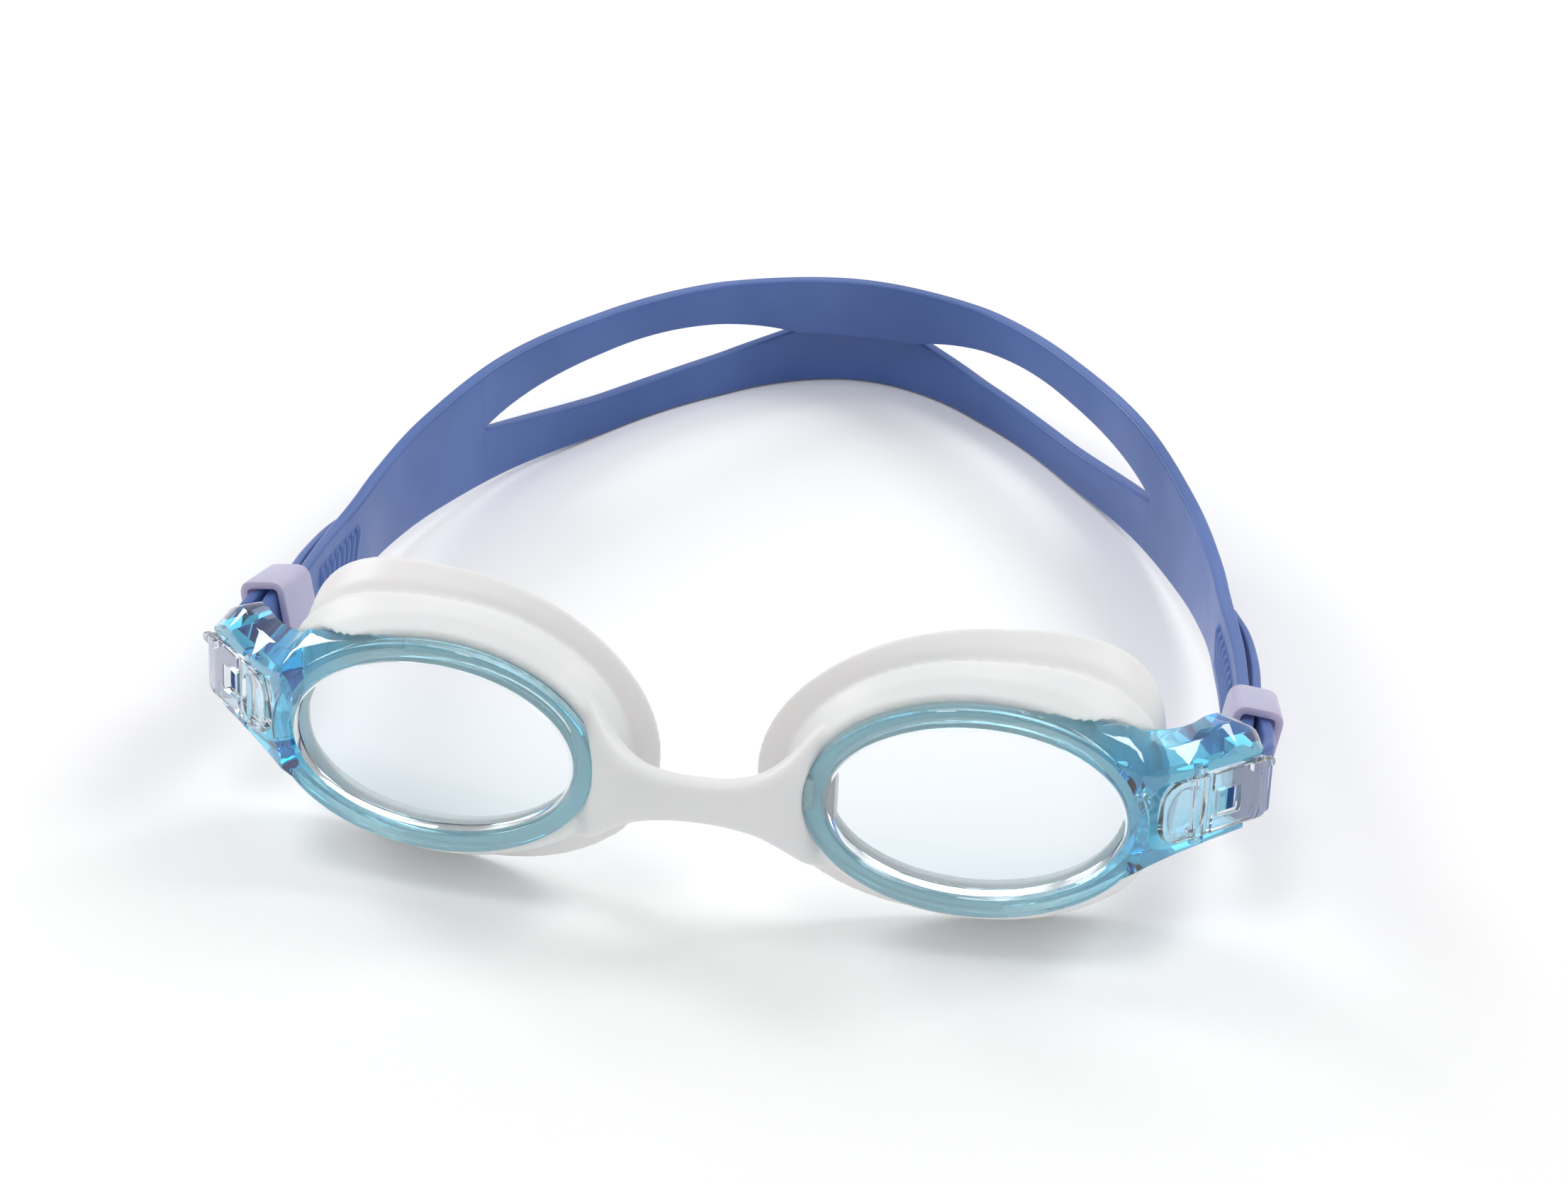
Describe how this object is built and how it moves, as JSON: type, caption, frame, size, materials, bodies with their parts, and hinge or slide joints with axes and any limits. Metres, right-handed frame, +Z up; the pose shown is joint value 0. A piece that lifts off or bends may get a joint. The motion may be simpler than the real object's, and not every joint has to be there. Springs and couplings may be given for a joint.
{
  "type": "swim goggles",
  "caption": "Swim goggles with clear lenses in tinted frames, frosted gasket with nose bridge, split silicone head strap, keepers and quick-adjust levers.",
  "frame": {"origin": "on the surface the goggles stand on, under the middle of their outline", "axes": "+Z up, -Y the way the wearer looks, +X to the right as seen from the front, which is the wearer's left"},
  "size_m": [0.1451, 0.1544, 0.0409],
  "materials": {
    "clear_polycarbonate": "clear, polished",
    "blue_polycarbonate": "light-blue transparent, polished",
    "frosted_silicone": "frosted white, translucent",
    "blue_silicone": "blue, satin, slightly translucent",
    "lavender_plastic": "frosted lavender"
  },
  "bodies": {
    "face_unit": {"gasket": "frosted_silicone", "head_strap": "blue_silicone", "lens_frame_left": "blue_polycarbonate", "lens_frame_right": "blue_polycarbonate", "lens_left": "clear_polycarbonate", "lens_right": "clear_polycarbonate"},
    "lever_right": {"release_lever_right": "clear_polycarbonate"},
    "lever_left": {"release_lever_left": "clear_polycarbonate"},
    "keeper_right_body": {"keeper_right": "lavender_plastic"},
    "keeper_left_body": {"keeper_left": "lavender_plastic"}
  },
  "joints": [
    {"name": "lever_right_press", "type": "hinge", "parent": "face_unit", "child": "lever_right", "pos_m": [0.06337, -0.06389, 0.02138], "axis": [0, -0.1564, -0.9877], "range_deg": [0, 8], "stiffness_Nm_per_rad": 0.02},
    {"name": "lever_left_press", "type": "hinge", "parent": "face_unit", "child": "lever_left", "pos_m": [-0.06337, -0.06389, 0.02138], "axis": [0, 0.1564, 0.9877], "range_deg": [0, 8], "stiffness_Nm_per_rad": 0.02},
    {"name": "keeper_right_slide", "type": "slide", "parent": "face_unit", "child": "keeper_right_body", "axis": [-0.1723, 0.9665, -0.1904], "range_m": [0, 0.0015]},
    {"name": "keeper_left_slide", "type": "slide", "parent": "face_unit", "child": "keeper_left_body", "axis": [0.1723, 0.9665, -0.1904], "range_m": [0, 0.0015]}
  ]
}
